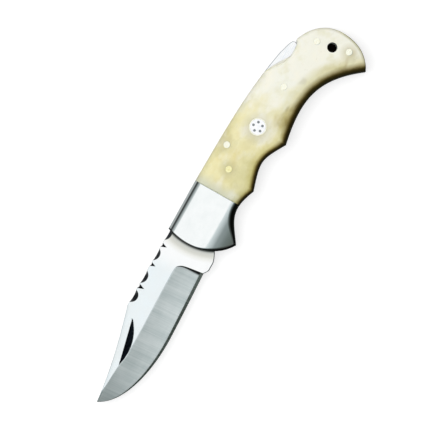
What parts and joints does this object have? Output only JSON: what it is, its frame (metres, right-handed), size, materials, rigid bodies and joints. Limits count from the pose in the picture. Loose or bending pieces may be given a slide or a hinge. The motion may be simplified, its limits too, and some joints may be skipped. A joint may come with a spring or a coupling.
{
  "type": "folding knife",
  "caption": "Lockback folding knife, open, with a hollow ground clip point blade, bone scales and polished bolsters.",
  "frame": {"origin": "on the blade's pivot axis, at the flat outer face of the pile side bolster", "axes": "+X along the handle to the butt, +Y to the spine, +Z from the pile side to the mark side; the knife lies flat on its pile side"},
  "size_m": [0.1949, 0.0417, 0.015],
  "materials": {
    "blade_steel": "satin hollow grind under polished flats",
    "lock_steel": "polished spine",
    "liner_steel": "satin",
    "polished_bolster": "mirror polished nickel silver",
    "smooth_bone": "smooth polished bone, cream with yellow and olive staining",
    "pin_nickel": "polished flush",
    "mosaic_resin": "polished pale resin",
    "mosaic_rod": "polished flush"
  },
  "bodies": {
    "handle": {"mark_liner": "liner_steel", "pile_liner": "liner_steel", "mark_bolster": "polished_bolster", "pile_bolster": "polished_bolster", "mark_scale": "smooth_bone", "pile_scale": "smooth_bone", "back_spacer": "liner_steel", "lock_spring": "lock_steel", "pivot_pin": "pin_nickel", "rocker_pin": "pin_nickel", "spring_pin": "pin_nickel", "butt_pin_upper": "pin_nickel", "butt_pin_lower": "pin_nickel", "mark_front_pin": "pin_nickel", "pile_front_pin": "pin_nickel", "mark_mosaic_tube": "pin_nickel", "mark_mosaic_core": "mosaic_resin", "mark_mosaic_rod_1": "mosaic_rod", "mark_mosaic_rod_2": "mosaic_rod", "mark_mosaic_rod_3": "mosaic_rod", "mark_mosaic_rod_4": "mosaic_rod", "mark_mosaic_rod_5": "mosaic_rod", "pile_mosaic_tube": "pin_nickel", "pile_mosaic_core": "mosaic_resin", "pile_mosaic_rod_1": "mosaic_rod", "pile_mosaic_rod_2": "mosaic_rod", "pile_mosaic_rod_3": "mosaic_rod", "pile_mosaic_rod_4": "mosaic_rod", "pile_mosaic_rod_5": "mosaic_rod"},
    "blade": {"blade": "blade_steel"},
    "lock_bar": {"lock_bar": "lock_steel"}
  },
  "joints": [
    {"name": "blade_fold", "type": "hinge", "parent": "handle", "child": "blade", "pos_m": [0, 0, 0.0075], "axis": [0, 0, 1], "range_deg": [0, 173]},
    {"name": "lock_release", "type": "hinge", "parent": "handle", "child": "lock_bar", "pos_m": [0.0374, 0.0106, 0.0075], "axis": [0, 0, 1], "range_deg": [-2.6, 0], "stiffness_Nm_per_rad": 12, "deforming": ["lock_spring"]}
  ]
}
